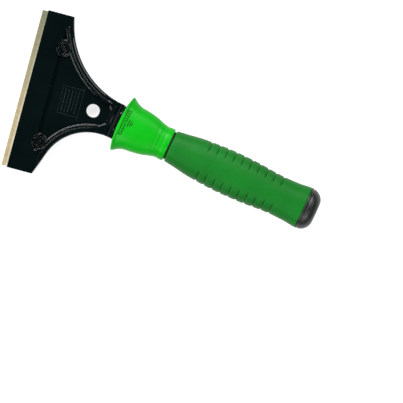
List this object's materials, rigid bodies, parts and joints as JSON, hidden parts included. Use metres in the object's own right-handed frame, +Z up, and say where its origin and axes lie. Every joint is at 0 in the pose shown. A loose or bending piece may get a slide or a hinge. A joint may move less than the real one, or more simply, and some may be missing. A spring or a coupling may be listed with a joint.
{
  "type": "hand scraper",
  "caption": "Hand-held floor scraper: a wide double-edged blade clamped in a triangular moulded head with a hanging hole, on a flanged grip.",
  "frame": {"origin": "middle of the tool's length and of the head's width, on the plane that it lies on", "axes": "+X along the blade, +Y from the cutting edge to the butt of the handle, +Z up out of the face that carries the screw heads"},
  "size_m": [0.101, 0.198, 0.022],
  "materials": {
    "head_plastic": "moulded black, slight gloss",
    "blade_steel": "ground carbon steel with a yellowish oil film",
    "screw_black": "blackened steel",
    "fastener_steel": "zinc plated",
    "bushing_brass": "turned",
    "core_plastic": "glass-filled nylon",
    "collar_green": "moulded bright green, satin",
    "seal_rubber": "matt black",
    "grip_green": "soft green grip, fine texture",
    "cap_plastic": "moulded black"
  },
  "bodies": {
    "tool": {"head_body": "head_plastic", "screw_washers": "fastener_steel", "screw_bushings": "bushing_brass", "core_upper": "core_plastic", "core_lower": "core_plastic", "core_screws": "fastener_steel", "front_collar": "collar_green", "spacer_ring": "seal_rubber", "rear_grip": "grip_green", "end_cap": "cap_plastic"},
    "blade": {"scraper_blade": "blade_steel"},
    "clamp": {"clamp_plate": "head_plastic", "plate_nuts": "fastener_steel"},
    "screw_left": {"clamp_screw_left": "screw_black", "retaining_clip_left": "fastener_steel"},
    "screw_right": {"clamp_screw_right": "screw_black", "retaining_clip_right": "fastener_steel"}
  },
  "joints": [
    {"name": "screw_left_turn", "type": "hinge", "parent": "tool", "child": "screw_left", "pos_m": [-0.0301, -0.07986, 0.005], "axis": [0, 0, 1], "range_deg": [0, 540]},
    {"name": "screw_right_turn", "type": "hinge", "parent": "tool", "child": "screw_right", "pos_m": [0.0301, -0.07986, 0.005], "axis": [0, 0, 1], "range_deg": [0, 540]},
    {"name": "clamp_drop", "type": "slide", "parent": "tool", "child": "clamp", "axis": [0, 0, -1], "range_m": [0, 0.00105]},
    {"name": "blade_slide", "type": "slide", "parent": "tool", "child": "blade", "axis": [0, -1, 0], "range_m": [0, 0.012]}
  ],
  "couplings": [
    {"joint": "screw_left_turn", "follows": "clamp_drop", "rad_per_m": 8975.9},
    {"joint": "screw_right_turn", "follows": "clamp_drop", "rad_per_m": 8975.9}
  ]
}
